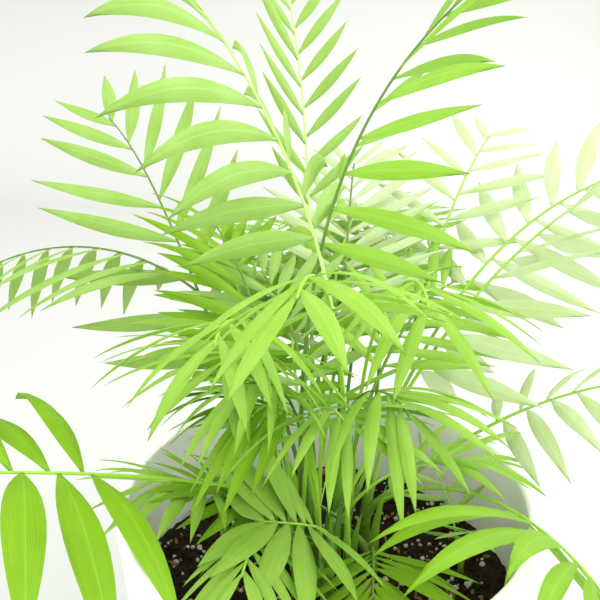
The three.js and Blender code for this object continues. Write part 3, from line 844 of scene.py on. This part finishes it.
OUTLINE_RISE, OUTLINE_FALL = 0.95, 1.15  # powers of a leaflet's outline
LEAFLET_ROOT = 0.0008  # half the width of a leaflet where it joins the rib
SHORTEST = 0.62  # least length of a leaflet for the longest of its frond
HAND_SHIFT = 0.25  # how far one leaflet of a pair stands ahead of the other, in spaces of a pair
SPACES_LESS = 0.6  # a rib has this many spaces less than pairs of leaflets
SWELL_START, SWELL_SPAN = 0.18, 0.8  # stretch of half a sine wave that their lengths follow
OPENING_POWER = 1.3  # above 1, leaflets close towards the rib mostly near its tip
LIFT_LOSS = 0.6  # share of the lift that the last leaflets have lost
BEND_POWER = 1.2  # above 1, a leaflet bends mostly near its tip
WIDTH_SHARE = 0.2  # share of its width that changes with a leaflet's length


def outline(part):
    """Half the width of a leaflet for its greatest: part to one power times the rest to another,
    for what that is where it peaks."""
    peak = OUTLINE_RISE / (OUTLINE_RISE + OUTLINE_FALL)
    top = peak ** OUTLINE_RISE * (1 - peak) ** OUTLINE_FALL
    return part ** OUTLINE_RISE * (1 - part) ** OUTLINE_FALL / top


class Leaflets:
    """Middle lines of all the leaflets of one frond. Each sets off between the way forward and
    the side, lifted out of the frond's plane, and bends down and forward as it goes. Arrays are
    for each leaflet, each step, each axis."""

    def __init__(self, stalk, pairs, width, change, loose):
        frond = stalk.frond
        tilt, shorter = change
        pair, hand = np.divmod(np.arange(pairs * 2), 2)
        hand = 1 - 2 * hand
        part = np.minimum((pair + HAND_SHIFT * (hand > 0)) / (pairs - SPACES_LESS), 1)
        spot = blend(frond["bare"], 1, part)
        curves = ("along", "leaf_side", "leaf_above")
        along, side, above = (unit(stalk.at(curve, spot)) for curve in curves)
        closed = part ** OPENING_POWER
        opening = np.radians(blend(frond["open0"], frond["open1"], closed))[:, None]
        lift = np.radians(frond["lift"] * (1 - LIFT_LOSS * part) + tilt + loose["tilt"])[:, None]
        out = side * (hand[:, None] * np.cos(lift)) + above * np.sin(lift)
        start = along * np.cos(opening) + out * np.sin(opening)
        swell = np.sin(np.pi * np.minimum(1, SWELL_START + SWELL_SPAN * part))
        scale = SHORTEST + (1 - SHORTEST) * swell
        length = frond["leaf"] * scale * shorter * loose["length"]
        step = np.arange(LEAFLET_STEPS + 1) / LEAFLET_STEPS
        bend = (step ** BEND_POWER)[None, :, None]
        sag = (frond["sag"] * loose["sag"])[:, None, None]
        self.ways = unit(start[:, None] - UP * bend * sag + along[:, None] * bend * FORWARD)
        stride = (length / LEAFLET_STEPS)[:, None, None]
        strides = unit(self.ways[:, 1:] + self.ways[:, :-1]) * stride
        first = stalk.at("points", spot)[:, None]
        self.points = np.concatenate([first, first + np.cumsum(strides, axis=1)], axis=1)
        face = above[:, None] - self.ways * (self.ways * above[:, None]).sum(axis=2, keepdims=True)
        face = unit(face)
        across = np.cross(self.ways, face)
        twist = (loose["twist"][:, None] * step)[:, :, None]
        self.faces = face * np.cos(twist) + across * np.sin(twist)
        fuller = 1 - WIDTH_SHARE + WIDTH_SHARE * scale
        half = width * frond["wide"] * frond["leaf"] * fuller / 2
        self.halves = np.maximum(outline(step) * half[:, None], LEAFLET_ROOT * (1 - step))

    def rings(self, across, rise, thickness, steps=slice(None)):
        """Rings of a section carried along each leaflet: across times half the width, and rise
        times it plus a share of the thickness."""
        side = np.cross(self.ways, self.faces)[:, steps, None]
        half = self.halves[:, steps, None, None]
        up = half * rise[:, None] + thickness[:, None]
        points, faces = self.points[:, steps, None], self.faces[:, steps, None]
        return points + side * half * across[:, None] + faces * up

    @classmethod
    def joined(cls, picks):
        """Leaflets picked from many fronds, as one set."""
        whole = cls.__new__(cls)
        for name in ("points", "ways", "faces", "halves"):
            values = [getattr(leaflets, name)[index] for _, leaflets, index in picks]
            setattr(whole, name, np.stack(values))
        return whole


PIECE_OWNER = -2  # owner of the pot, the mix and the canes, whose own number no stalk has


class Space:
    """What already stands somewhere, so that leaflets can keep clear of it."""

    def __init__(self, room):
        self.low = np.full((room, 3), np.inf)
        self.high = np.full((room, 3), -np.inf)
        self.trees = []
        self.owners = np.full(room, -1)

    def add(self, owner, points, faces):
        number = len(self.trees)
        self.low[number] = points.min(axis=0)
        self.high[number] = points.max(axis=0)
        self.owners[number] = owner
        self.trees.append(BVHTree.FromPolygons(points.tolist(), faces))

    def touches(self, owner, points, faces):
        near = ((self.low < points.max(axis=0)) & (self.high > points.min(axis=0))).all(axis=1)
        found = np.flatnonzero(near & (self.owners != owner))
        if not len(found):
            return False
        tree = BVHTree.FromPolygons(points.tolist(), faces)
        return any(tree.overlap(self.trees[index]) for index in found)


def quad_faces(rings, sides):
    """Quads of a tube, as lists of corner numbers."""
    row, side = np.divmod(np.arange((rings - 1) * sides), sides)
    after = (side + 1) % sides
    low, high = row * sides, (row + 1) * sides
    return stacked(low + side, low + after, high + after, high + side).tolist()


TAPER_POWER = 1.2  # above 1, a stalk thins mostly near its foot
FLATTER_ABOVE = 0.3  # share of its radius that a stalk lacks on top


def stalk_rings(stalk, sides, foot, tip, steps):
    """Rings of a stalk: a circle, flatter above, whose radius falls in a curve to the tip."""
    cosine, sine = ring_of(sides)
    parts = np.linspace(0, 1, steps)
    radius = (tip + (foot - tip) * (1 - parts) ** TAPER_POWER)[:, None, None]
    flat = (1 - FLATTER_ABOVE * np.maximum(cosine, 0) ** 2)[None, :, None]
    above, side = stalk.at("above", parts)[:, None], stalk.at("side", parts)[:, None]
    ring = above * cosine[None, :, None] + side * sine[None, :, None]
    return stalk.at("points", parts)[:, None] + ring * radius * flat


COARSE_STEPS = (0, 2, 4, 7, 9, 11)  # steps of a leaflet that room is looked for with
CHANGES = [(tilt, shorter) for shorter in (1, 0.82, 0.66) for tilt in (0, 9, -9, 18, -18)]
LOOSE_TILT = 8.0  # greatest change of a leaflet's lift, in degrees
LOOSE_LENGTH = 0.10  # greatest share that a leaflet is shorter; it is longer by a third of that
LOOSE_SAG = 0.35  # greatest share that it hangs more or less
LOOSE_TWIST = 0.45  # greatest twist at its tip, in radians


def chosen_leaflets(stalks, space, settings):
    """For each stalk, the leaflets that find room: each is tried as it is, then tilted or
    shorter, and left out if it touches something every time."""
    random = np.random.default_rng(SEED)
    faces = [part for a, b, c, d in quad_faces(len(COARSE_STEPS), 3)
             for part in ((a, b, c), (a, c, d))]
    across, rise, thick = np.array([-1.0, 1.0, 0.0]), np.zeros(3), np.array([-0.2, -0.2, 1.0])
    kept = []
    for owner, stalk in enumerate(stalks):
        pairs = stalk.frond["pairs"]
        if stalk.frond.get("filling"):
            pairs = round(pairs * settings.finer)
        count = pairs * 2
        loose = {
            "tilt": random.uniform(-LOOSE_TILT, LOOSE_TILT, count),
            "length": random.uniform(1 - LOOSE_LENGTH, 1 + LOOSE_LENGTH / 3, count),
            "sag": random.uniform(1 - LOOSE_SAG, 1 + LOOSE_SAG, count),
            "twist": random.uniform(-LOOSE_TWIST, LOOSE_TWIST, count),
        }
        tries = [Leaflets(stalk, pairs, settings.width, change, loose) for change in CHANGES]
        section = (across, rise, thick * settings.thickness, list(COARSE_STEPS))
        coarse = [leaflets.rings(*section).reshape(count, -1, 3) for leaflets in tries]
        for leaflet in range(count):
            for number, leaflets in enumerate(tries):
                if not space.touches(owner, coarse[number][leaflet], faces):
                    space.add(owner, coarse[number][leaflet], faces)
                    kept.append((stalk, leaflets, leaflet))
                    break
    return kept


# ---------- operators ----------
class PALM_OT_pot(bpy.types.Operator):
    """Make the glazed pot"""
    bl_idname = "palm.make_pot"
    bl_label = "Pot"

    def execute(self, context):
        settings = context.scene.palm.pot
        rim, foot, wall = settings.rim_radius, settings.foot_radius, settings.wall
        lip = wall / 2
        lip_height = settings.rim_height - lip
        edge = 0.004
        inside_foot = pot_radius(wall) - wall
        profile = np.concatenate([
            line((0, 0), (foot - edge, 0), 8),
            arc((foot - edge, edge), edge, -90, 0, 7),
            line((foot, edge), (rim, lip_height), 40),
            arc((rim - lip, lip_height), lip, 0, 180, 17),
            line((rim - wall, lip_height), (inside_foot, wall + edge), 40),
            arc((inside_foot - edge, wall + edge), edge, 0, -90, 7),
            line((inside_foot - edge, wall), (0, wall), 8),
        ])
        grid = turned(profile, 160)
        pot = skin("pot_glazed", grid, np.zeros((1, 3)), np.array([[0, 0, wall]]))
        dress(pot, glaze_finish(settings), ["pot"])
        return {"FINISHED"}


GRAIN_SPREAD = 0.28  # spread of the logarithm of the grains' sizes
GRAIN_RAISED = (0.1, 0.6)  # how far their middles stand above the bed, in half heights
GRAIN_TIP = 0.5  # spread of the angle that their long way is tipped by, in radians
GRAIN_LEAN = 0.4  # spread of their upright's lean


class PALM_OT_mix(bpy.types.Operator):
    """Make the bed of potting mix, with its crumbs, perlite and bark"""
    bl_idname = "palm.make_mix"
    bl_label = "Potting mix"

    def execute(self, context):
        settings = context.scene.palm.mix
        peat = peat_finish(settings)
        self.bed(peat)
        random = np.random.default_rng(SEED + 1)
        for name, kind, shape, rough, material in (
            ("mix_crumbs", "crumb", (1, 0.9, 0.7), 0.25, peat),
            ("mix_perlite", "perlite", (1, 0.85, 0.75), 0.2, perlite_finish(settings)),
            ("mix_bark", "bark", (1, 0.5, 0.28), 0.15, bark_finish(settings)),
        ):
            count, width = getattr(settings, f"{kind}_count"), getattr(settings, f"{kind}_size")
            self.grains(name, random, count, width, shape, rough, material)
        return {"FINISHED"}

    def bed(self, material):
        """A disc of mix: along the pot's floor, up its wall and back over the bed's own height."""
        floor = WALL + GAP
        sides = 220
        edge = MIX_HEIGHT - 0.008  # top of the smooth side
        innermost = 0.0015
        low = pot_radius(floor) - WALL - SIDE_GAP
        high = pot_radius(MIX_HEIGHT) - WALL - SIDE_GAP
        cosine, sine = ring_of(sides)
        rings = [(radius, floor) for radius in np.linspace(0.2, 1, 4) * low]
        rings += [(blend(low, high, part), blend(floor, edge, part))
                  for part in (0.25, 0.5, 0.75, 1)]
        under = turned(np.array(rings), sides)[0]
        radius = np.linspace(high, innermost, 90)[:, None]
        x, y = radius * cosine, radius * sine
        over = stacked(x, y, bed_height(x, y))
        grid = np.concatenate([under, over])[None]
        end = np.array([[0, 0, float(bed_height(np.zeros(1), np.zeros(1))[0])]])
        bed = skin("mix_bed", grid, np.array([[0, 0, floor]]), end)
        dress(bed, material, ["soil"])

    def grains(self, name, random, count, width, shape, rough, material):
        """Many small lumps partly sunk in the bed: balls of 4 rings by 6 sides, stretched by
        `shape`, turned any way, with each corner moved in or out by up to `rough`."""
        rings, sides = 4, 6
        cosine, sine = ring_of(sides)
        fall = np.radians(np.linspace(150, 30, rings))[:, None]
        ball = stacked(np.sin(fall) * cosine, np.sin(fall) * sine, np.cos(fall))
        reach = pot_radius(MIX_HEIGHT) - WALL - width * 0.8
        radius = reach * np.sqrt(random.uniform(0, 1, count))
        angle = random.uniform(0, 2 * np.pi, count)
        x, y = radius * np.cos(angle), radius * np.sin(angle)
        room = np.ones(count, bool)
        for cane in CANES.values():
            away = np.hypot(x - cane["at"][0], y - cane["at"][1])
            room &= away > CANE_ROOM * cane["slim"] + width / 2
        x, y = x[room], y[room]
        count = len(x)
        scale = width / 2 * random.lognormal(0, GRAIN_SPREAD, count)
        raised = scale * shape[2] * random.uniform(*GRAIN_RAISED, count)
        middle = stacked(x, y, bed_height(x, y) + raised)
        tip = random.normal(0, GRAIN_TIP, count)
        spin = random.uniform(0, 2 * np.pi, count)
        first = stacked(np.cos(spin) * np.cos(tip), np.sin(spin) * np.cos(tip), np.sin(tip))
        third = unit(stacked(*random.normal(0, GRAIN_LEAN, (2, count)), 1.0))
        second = unit(np.cross(third, first))
        third = np.cross(first, second)
        axes = np.stack([first * shape[0], second * shape[1], third * shape[2]], axis=1)
        axes = axes * scale[:, None, None]
        bumps = random.uniform(1 - rough, 1 + rough, (count, rings, sides, 1))
        grid = middle[:, None, None] + np.einsum("rsk,bkj->brsj", ball, axes) * bumps
        piece = skin(name, grid, middle - axes[:, 2], middle + axes[:, 2])
        dress(piece, material)


# A cane's shape, in parts of its height.
SUNK = 0.06  # how deep it stands in the mix
SCARS = (0.22, 0.44, 0.64)  # where its rings are
SCAR_HEIGHT = 0.03  # half the height of a ring
FLARE_HEIGHT = 0.07  # how far up its foot flares
SPEAR_START = 0.7  # where it starts to narrow into the rolled young leaf
SPEAR_POWER = 0.8  # below 1, it keeps its width until near its tip
SPEAR_TIP = 0.0003  # least radius, in metres


class PALM_OT_canes(bpy.types.Operator):
    """Make the ringed canes"""
    bl_idname = "palm.make_canes"
    bl_label = "Canes"

    def execute(self, context):
        settings = context.scene.palm.canes
        rings, sides = 48, 20
        cosine, sine = ring_of(sides)
        parts = np.linspace(-SUNK, settings.spear, rings)
        bulge = sum(np.exp(-((parts - scar) / SCAR_HEIGHT) ** 2) for scar in SCARS)
        radius = cane_radius(np.clip(parts, 0, 1)) + settings.ring * bulge
        radius = radius + settings.flare * np.exp(-(parts + SUNK) / FLARE_HEIGHT)
        thinner = np.clip((settings.spear - parts) / (settings.spear - SPEAR_START), 0, 1)
        radius = np.maximum(radius * thinner ** SPEAR_POWER, SPEAR_TIP)
        grid = []
        for cane in CANES.values():
            x, y, z = np.array([cane_middle(cane, part) for part in parts]).T[:, :, None]
            wide = (radius * cane["slim"])[:, None]
            grid.append(stacked(x + wide * cosine, y + wide * sine, z))
        grid = np.stack(grid)
        canes = skin("canes", grid, grid[:, 0].mean(axis=1), grid[:, -1].mean(axis=1))
        marks = [(scar + SUNK) / (settings.spear + SUNK) for scar in SCARS]
        dress(canes, cane_finish(settings, marks), CANE_NODES)
        return {"FINISHED"}


TIP_POINT = 0.002  # length of the point at the end of a rib
SHEATH_DOWN = 0.35  # how far a sheath starts below its petiole, in heights of the cane
SHEATH_LOWEST = 0.05  # least height that it starts at, in the same
SHEATH_UP = 0.018  # how far it runs along the petiole
SHEATH_WIDE = 1.12  # how much wider it is than what it clasps
SHEATH_HUG = 0.6  # how near its curve is pulled to the cane's middle, from the petiole at 0
SHEATH_POWER = 0.8  # below 1, it narrows mostly near its foot
RIB_ROOM = 0.6  # radius that leaflets keep free at a rib's tip, for its petiole's
MOST_OBSTACLES = 4000


class PALM_OT_fronds(bpy.types.Operator):
    """Make the fronds: petioles and ribs, the sheaths at their feet, and the leaflets"""
    bl_idname = "palm.make_fronds"
    bl_label = "Fronds"

    def execute(self, context):
        palm = context.scene.palm
        settings = palm.fronds
        stalks = plant_stalks()
        if sorted(stalk.name for stalk in stalks) != FROND_NODES:
            raise RuntimeError("the fronds are not those of the packed frame")
        space = self.obstacles(stalks)
        kept = chosen_leaflets(stalks, space, settings)
        self.stalks(stalks, settings)
        self.sheaths(stalks, palm.canes)
        self.leaflets(kept, settings)
        return {"FINISHED"}

    def obstacles(self, stalks):
        """The pot, the mix, the canes and every stalk, as what leaflets keep clear of."""
        space = Space(MOST_OBSTACLES)
        for name in ("pot_glazed", "mix_bed", "canes"):
            mesh = bpy.data.objects[name].data
            points = np.zeros(len(mesh.vertices) * 3)
            mesh.vertices.foreach_get("co", points)
            faces = [tuple(face.vertices) for face in mesh.polygons]
            space.add(PIECE_OWNER, points.reshape(-1, 3), faces)
        faces = quad_faces(CURVE_STEPS + 1, 5)
        for owner, stalk in enumerate(stalks):
            foot, tip = PETIOLE + GAP, PETIOLE * RIB_ROOM + GAP
            rings = stalk_rings(stalk, 5, foot, tip, CURVE_STEPS + 1)
            space.add(owner, rings.reshape(-1, 3), faces)
        return space

    def stalks(self, stalks, settings):
        """Petioles and ribs, the dark ones and the pale ones with painted sheen apart."""
        groups = {"green": [], "dark": [], "pale": []}
        for index, stalk in enumerate(stalks):
            shade = "green"
            if stalk.name in SHEEN_STALKS:
                shade = "pale"
            elif stalk.name in DARK_STALKS or (stalk.frond.get("filling") and index % 2 == 0):
                shade = "dark"
            groups[shade].append(stalk)
        tints = {
            "green": settings.stalk, "dark": settings.dark_stalk, "pale": settings.sheen_stalk,
        }
        for shade, group in groups.items():
            grid = []
            for stalk in group:
                slim = stalk.frond["slim"]
                foot, tip = PETIOLE * slim, settings.rib_tip * slim
                grid.append(stalk_rings(stalk, 10, foot, tip, CURVE_STEPS + 1))
            feet = np.stack([stalk.points[0] for stalk in group])
            tips = np.stack([stalk.points[-1] + stalk.along[-1] * TIP_POINT for stalk in group])
            piece = skin(f"stalks_{shade}", np.stack(grid), feet, tips)
            material = stalk_finish(f"stalks_{shade}_skin", tints[shade])
            dress(piece, material, [stalk.name for stalk in group])

    def sheaths(self, stalks, settings):
        """The foot of each petiole: a tube whose middle runs in a square curve from the cane's
        own middle to the petiole, and whose radius shrinks from the cane's to the petiole's."""
        sides, rings = 14, 14
        cosine, sine = ring_of(sides)
        parts = np.linspace(0, 1, rings)[:, None]
        grid = []
        for stalk in stalks:
            frond = stalk.frond
            cane = CANES[frond["cane"]]
            below = cane_middle(cane, max(SHEATH_LOWEST, frond["up"] - SHEATH_DOWN))
            at_foot = cane_middle(cane, frond["up"]) * SHEATH_HUG
            at_foot = at_foot + stalk.points[0] * (1 - SHEATH_HUG)
            above = stalk.at("points", SHEATH_UP / frond["length"])[0]
            middle = below * (1 - parts) ** 2 + at_foot * 2 * parts * (1 - parts)
            middle = middle + above * parts ** 2
            way = unit(np.gradient(middle, axis=0))
            side = unit(np.cross(way, stalk.above[0]))
            over = np.cross(side, way)
            low = cane_radius(frond["up"]) * cane["slim"] * SHEATH_WIDE
            high = PETIOLE * frond["slim"] * SHEATH_WIDE
            wide = blend(low, high, parts ** SHEATH_POWER)[:, :, None]
            ring = over[:, None] * cosine[None, :, None] + side[:, None] * sine[None, :, None]
            grid.append(middle[:, None] + ring * wide)
        grid = np.stack(grid)
        piece = skin("sheaths", grid, grid[:, 0].mean(axis=1), grid[:, -1].mean(axis=1))
        # the sheath colour carries painted shade, darker than its own colour
        dress(piece, stalk_finish("sheath_skin", settings.sheath))

    def leaflets(self, kept, settings):
        """Leaflets by tone, each tone a copy of the leaf green: lit ones as painted light, a shaded
        one as painted shade, and the usual green. The section has six corners: two edges, three
        above and one below, drawn down at its edges like a low roof, and it shrinks by the outline
        to a point."""
        across = np.array([-1, -0.5, 0, 0.5, 1, 0])
        rise = np.array([-0.22, -0.05, 0, -0.05, -0.22, 0])
        thick = np.array([0, 0.35, 0.3, 0.35, 0, -0.7]) * settings.thickness
        # across the leaflet, the map runs from -1 to 1 above, and from 3 to 5 below
        places = ((-1, -0.5, 0, 0.5, 5, 4), (-0.5, 0, 0.5, 1, 4, 3))
        for tone in TONES:
            group = [item for item in kept if item[0].frond["tone"] == tone]
            chosen = Leaflets.joined(group)
            grid = chosen.rings(across, rise, thick, slice(0, LEAFLET_STEPS))
            roots, tips = chosen.points[:, 0], chosen.points[:, -1]
            piece = skin(f"leaflets_{tone}", grid, roots, tips, places, (0, 4))
            material = leaf_finish(f"leaf_{tone}", getattr(settings, tone), settings.veins)
            nodes = sorted({stalk.name for stalk, _, _ in group})
            dress(piece, material, nodes)


PLANT_MIDDLE = (0, 0, 0.35)
CAMERA_PLACE = (-0.018, -0.430, 0.560)
CAMERA_DOWN = 22.3  # degrees below level that it looks
CAMERA_LENS = 45.6  # millimetres


class PALM_OT_stage(bpy.types.Operator):
    """Make the floor, the wall behind, the lights and the camera"""
    bl_idname = "palm.make_stage"
    bl_label = "Stage"

    def execute(self, context):
        settings = context.scene.palm.stage
        self.backdrop(settings)
        self.light("window", (1.5, 0.75, 1.25), 1.5, settings.window)
        self.light("fill", (-1.3, -1.6, 1.5), 1.8, settings.fill)
        world = bpy.data.worlds.new("room")
        world.use_nodes = True
        background = world.node_tree.nodes["Background"]
        background.inputs["Color"].default_value = (1.0, 1.0, 0.98, 1.0)
        background.inputs["Strength"].default_value = settings.room
        context.scene.world = world
        context.scene.view_settings.view_transform = "Standard"
        lens = bpy.data.cameras.new("camera")
        lens.lens = CAMERA_LENS
        lens.sensor_width = 36.0
        camera = placed("camera", lens)
        camera.location = CAMERA_PLACE
        camera.rotation_euler = (math.radians(90 - CAMERA_DOWN), 0, 0)
        context.scene.camera = camera
        return {"FINISHED"}

    def light(self, name, place, across, power):
        """A soft square light that looks at the middle of the plant."""
        lamp = bpy.data.lights.new(name, "AREA")
        lamp.size = across
        lamp.energy = power
        holder = placed(name, lamp)
        holder.location = place
        view = Vector(PLANT_MIDDLE) - Vector(place)
        holder.rotation_euler = view.to_track_quat("-Z", "Y").to_euler()

    def backdrop(self, settings):
        """A floor that turns up into a wall: a profile of straight, quarter circle and straight,
        carried sideways."""
        reach, bend, top, half = 1.6, 0.6, 3.0, 4.0
        floor = [(y, 0.0) for y in np.linspace(-4, reach, 12)]
        angles = np.radians(np.linspace(-90, 0, 16)[1:])
        turn = [(reach + bend * math.cos(a), bend + bend * math.sin(a)) for a in angles]
        wall = [(reach + bend, z) for z in np.linspace(bend, top, 6)[1:]]
        back, up = np.array(floor + turn + wall).T[:, :, None]
        across = np.linspace(-half, half, 9)
        points = stacked(across, back, up)
        rows, columns = points.shape[:2]
        row, column = np.divmod(np.arange((rows - 1) * (columns - 1)), columns - 1)
        first = row * columns + column
        faces = stacked(first, first + 1, first + 1 + columns, first + columns)
        mesh = bpy.data.meshes.new("backdrop")
        mesh.from_pydata(points.reshape(-1, 3).tolist(), [], faces.tolist())
        mesh.polygons.foreach_set("use_smooth", np.ones(len(mesh.polygons), bool))
        mesh.materials.append(plain_finish("pale_floor", settings.floor))
        placed("backdrop", mesh)


class PALM_PT_sidebar(bpy.types.Panel):
    """Lists the pieces of the potted palm"""
    bl_idname = "PALM_PT_sidebar"
    bl_label = "Potted Palm"
    bl_space_type = "VIEW_3D"
    bl_region_type = "UI"
    bl_category = "Palm"

    def draw(self, context):
        palm = context.scene.palm
        for part in ("pot", "mix", "canes", "fronds", "stage"):
            settings = getattr(palm, part)
            box = self.layout.box()
            for name in settings.__annotations__:
                box.prop(settings, name)
            box.operator(f"palm.make_{part}")


CLASSES = (
    PotSettings, MixSettings, CaneSettings, FrondSettings, StageSettings, PalmSettings, PALM_OT_pot,
    PALM_OT_mix, PALM_OT_canes, PALM_OT_fronds, PALM_OT_stage, PALM_PT_sidebar,
)


def register():
    for kind in CLASSES:
        bpy.utils.register_class(kind)
    bpy.types.Scene.palm = PointerProperty(type=PalmSettings)


def unregister():
    del bpy.types.Scene.palm
    for kind in reversed(CLASSES):
        bpy.utils.unregister_class(kind)


def main():
    """Makes every piece in order."""
    register()
    bpy.ops.palm.make_stage()
    bpy.ops.palm.make_pot()
    bpy.ops.palm.make_mix()
    bpy.ops.palm.make_canes()
    bpy.ops.palm.make_fronds()


if __name__ == "__main__":
    main()
